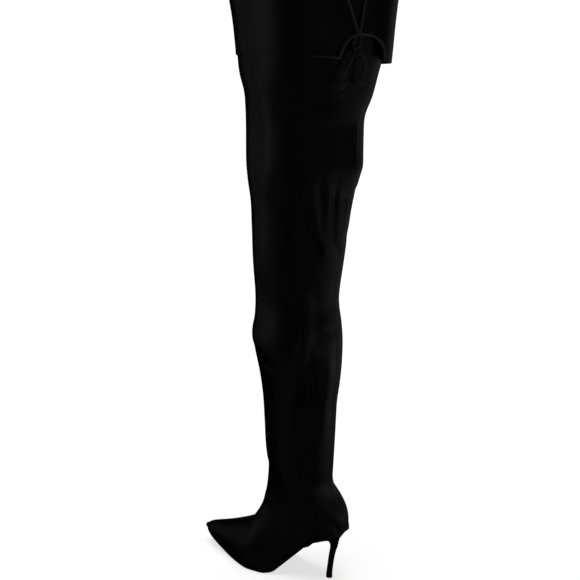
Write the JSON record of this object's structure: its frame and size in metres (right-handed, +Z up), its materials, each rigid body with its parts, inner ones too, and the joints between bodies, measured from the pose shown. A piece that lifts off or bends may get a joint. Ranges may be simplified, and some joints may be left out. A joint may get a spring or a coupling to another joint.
{
  "type": "thigh high boot",
  "caption": "Left thigh high boot: hollow stretch leather shaft, pointed toe, covered stiletto heel, cuff notched at the outer back and held by a self tie.",
  "frame": {"origin": "centre of the underside of the heel's top piece, on the floor", "axes": "+Z up along the shaft, +X from the heel to the toe, +Y to the outer side of the leg"},
  "size_m": [0.294, 0.2034, 0.8033],
  "materials": {
    "leather": "satin, fine grained stretch leather",
    "heel_leather": "satin, stretched over the heel",
    "sole": "matte black sole",
    "insole": "matte black sock over board",
    "top_piece": "matte",
    "tie": "satin, rolled strap"
  },
  "bodies": {
    "root": {"upper": "leather", "cuff": "leather", "insole": "insole", "outsole": "sole", "heel": "heel_leather", "top_piece": "top_piece", "tie_knot": "tie", "tie_strand_inner": "tie", "tie_strand_outer": "tie", "tie_tail_inner": "tie", "tie_tail_outer": "tie", "tie_leaf_inner": "tie", "tie_leaf_outer": "tie"}
  },
  "joints": []
}
